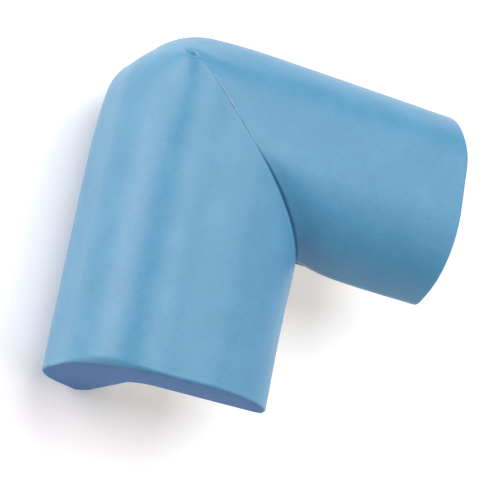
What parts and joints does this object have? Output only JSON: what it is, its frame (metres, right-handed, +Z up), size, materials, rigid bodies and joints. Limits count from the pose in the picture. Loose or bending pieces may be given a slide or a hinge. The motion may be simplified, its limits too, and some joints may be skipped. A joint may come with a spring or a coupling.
{
  "type": "foam corner guard",
  "caption": "Soft blue L-section foam cushion folded around a table corner, with a glued 45 degree mitre and adhesive strips under peel-off liners.",
  "frame": {"origin": "centre of the bounding box in plan, at the level of the skirts' tips", "axes": "+Z up through the flange; the front leg runs along -Y and the side leg along +X; the rounded outer corner points to -X, +Y"},
  "size_m": [0.06, 0.06, 0.035],
  "materials": {
    "foam": "matte closed-cell foam skin, light blue",
    "glue": "dried contact glue, milky",
    "tape": "soft white adhesive foam tape",
    "liner": "siliconised release film, satin white"
  },
  "bodies": {
    "guard": {"front_leg": "foam", "side_leg": "foam", "corner_fold": "foam", "mitre_glue": "glue", "front_top_tape": "tape", "front_skirt_tape": "tape", "side_top_tape": "tape", "side_skirt_tape": "tape"},
    "front_top_release": {"front_top_liner": "liner"},
    "front_skirt_release": {"front_skirt_liner": "liner"},
    "side_top_release": {"side_top_liner": "liner"},
    "side_skirt_release": {"side_skirt_liner": "liner"}
  },
  "joints": [
    {"name": "front_top_peel", "type": "slide", "parent": "guard", "child": "front_top_release", "axis": [0, -1, 0], "range_m": [0, 0.06]},
    {"name": "front_skirt_peel", "type": "slide", "parent": "guard", "child": "front_skirt_release", "axis": [0, -1, 0], "range_m": [0, 0.06]},
    {"name": "side_top_peel", "type": "slide", "parent": "guard", "child": "side_top_release", "axis": [1, 0, 0], "range_m": [0, 0.06]},
    {"name": "side_skirt_peel", "type": "slide", "parent": "guard", "child": "side_skirt_release", "axis": [1, 0, 0], "range_m": [0, 0.06]}
  ]
}
